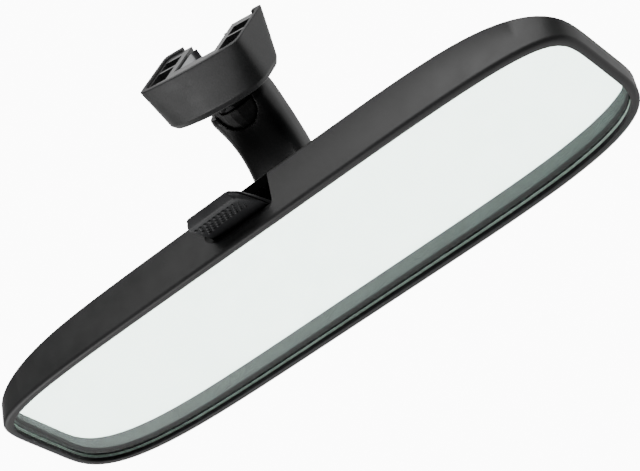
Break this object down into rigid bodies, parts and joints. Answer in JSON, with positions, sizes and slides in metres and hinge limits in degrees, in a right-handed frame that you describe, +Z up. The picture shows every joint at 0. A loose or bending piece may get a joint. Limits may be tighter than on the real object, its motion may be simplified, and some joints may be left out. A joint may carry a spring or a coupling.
{
  "type": "interior rearview mirror",
  "caption": "Day/night interior rearview mirror: prismatic glass in a black housing, toggle lever, curved stay with two ball joints, and a windshield foot.",
  "frame": {"origin": "centre of the button seat, the flat floor of the slot in the foot that slides over the windshield button", "axes": "+X along the length of the glass, to the right when looking forwards along +Y; +Y from the glass towards the windshield; +Z up. At rest the stay and the head are straight, the glass faces -Y, the foot is leaned back 28.4 degrees with the windshield and turned 11.5 degrees on its ball"},
  "size_m": [0.2374, 0.0908, 0.0777],
  "materials": {
    "housing_plastic": "fine grained black",
    "foot_plastic": "fine grained black",
    "stay_plastic": "satin black",
    "lever_plastic": "satin black, dimpled grip",
    "inner_plastic": "smooth black",
    "seat_nylon": "natural nylon",
    "zinc": "die-cast, dull",
    "steel": "zinc plated",
    "glass": "clear, slightly green, ground edges",
    "silver": "silvered",
    "foam": "closed-cell foam",
    "rubber": "matte"
  },
  "bodies": {
    "windshield_foot": {"base_cover": "foot_plastic", "base_carrier": "inner_plastic", "button_clip_right": "steel", "button_clip_left": "steel", "upper_ball_stud": "zinc", "ball_stud_nut": "steel", "carrier_screw_left": "steel", "carrier_screw_right": "steel"},
    "upper_seat": {"upper_ball_seat": "seat_nylon"},
    "stay": {"stay_arm": "stay_plastic", "ball_pressure_pad": "seat_nylon", "pressure_spring": "steel", "lower_ball_stud": "zinc"},
    "rear_seat": {"ball_seat_rear": "seat_nylon"},
    "front_seat": {"ball_seat_front": "seat_nylon"},
    "bracket": {"tilt_bracket": "inner_plastic", "socket_clamp_ring": "zinc", "clamp_screw_1": "steel", "clamp_screw_2": "steel", "clamp_screw_3": "steel", "hinge_pin": "steel"},
    "head": {"rear_housing": "housing_plastic", "prism_glass": "glass", "silver_backing": "silver", "foam_strip_left": "foam", "foam_strip_right": "foam", "bumper_left": "rubber", "bumper_right": "rubber", "lever_pin": "steel"},
    "lever": {"toggle_lever": "lever_plastic"}
  },
  "joints": [
    {"name": "stay_swivel", "type": "hinge", "parent": "windshield_foot", "child": "upper_seat", "pos_m": [-0.00147, -0.00722, -0.01363], "axis": [0.0951, 0.466, 0.8796], "range_deg": [-15, 15]},
    {"name": "stay_tilt", "type": "hinge", "parent": "upper_seat", "child": "stay", "pos_m": [-0.00147, -0.00722, -0.01363], "axis": [0.9798, -0.2001, 0], "range_deg": [-12, 12]},
    {"name": "head_turn", "type": "hinge", "parent": "stay", "child": "rear_seat", "pos_m": [-0.00147, -0.05272, -0.03406], "axis": [0, 0, 1], "range_deg": [-15, 15]},
    {"name": "head_nod", "type": "hinge", "parent": "rear_seat", "child": "front_seat", "pos_m": [-0.00147, -0.05272, -0.03406], "axis": [1, 0, 0], "range_deg": [-12, 12]},
    {"name": "head_roll", "type": "hinge", "parent": "front_seat", "child": "bracket", "pos_m": [-0.00147, -0.05272, -0.03406], "axis": [0, 1, 0], "range_deg": [-8, 8]},
    {"name": "daynight_tilt", "type": "hinge", "parent": "bracket", "child": "head", "pos_m": [-0.00147, -0.05922, -0.04906], "axis": [-1, 0, 0], "range_deg": [0, 4]},
    {"name": "lever_flip", "type": "hinge", "parent": "head", "child": "lever", "pos_m": [-0.00147, -0.06272, -0.00856], "axis": [-1, 0, 0], "range_deg": [0, 30]}
  ],
  "couplings": [
    {"joint": "lever_flip", "follows": "daynight_tilt", "ratio": 7.5}
  ]
}
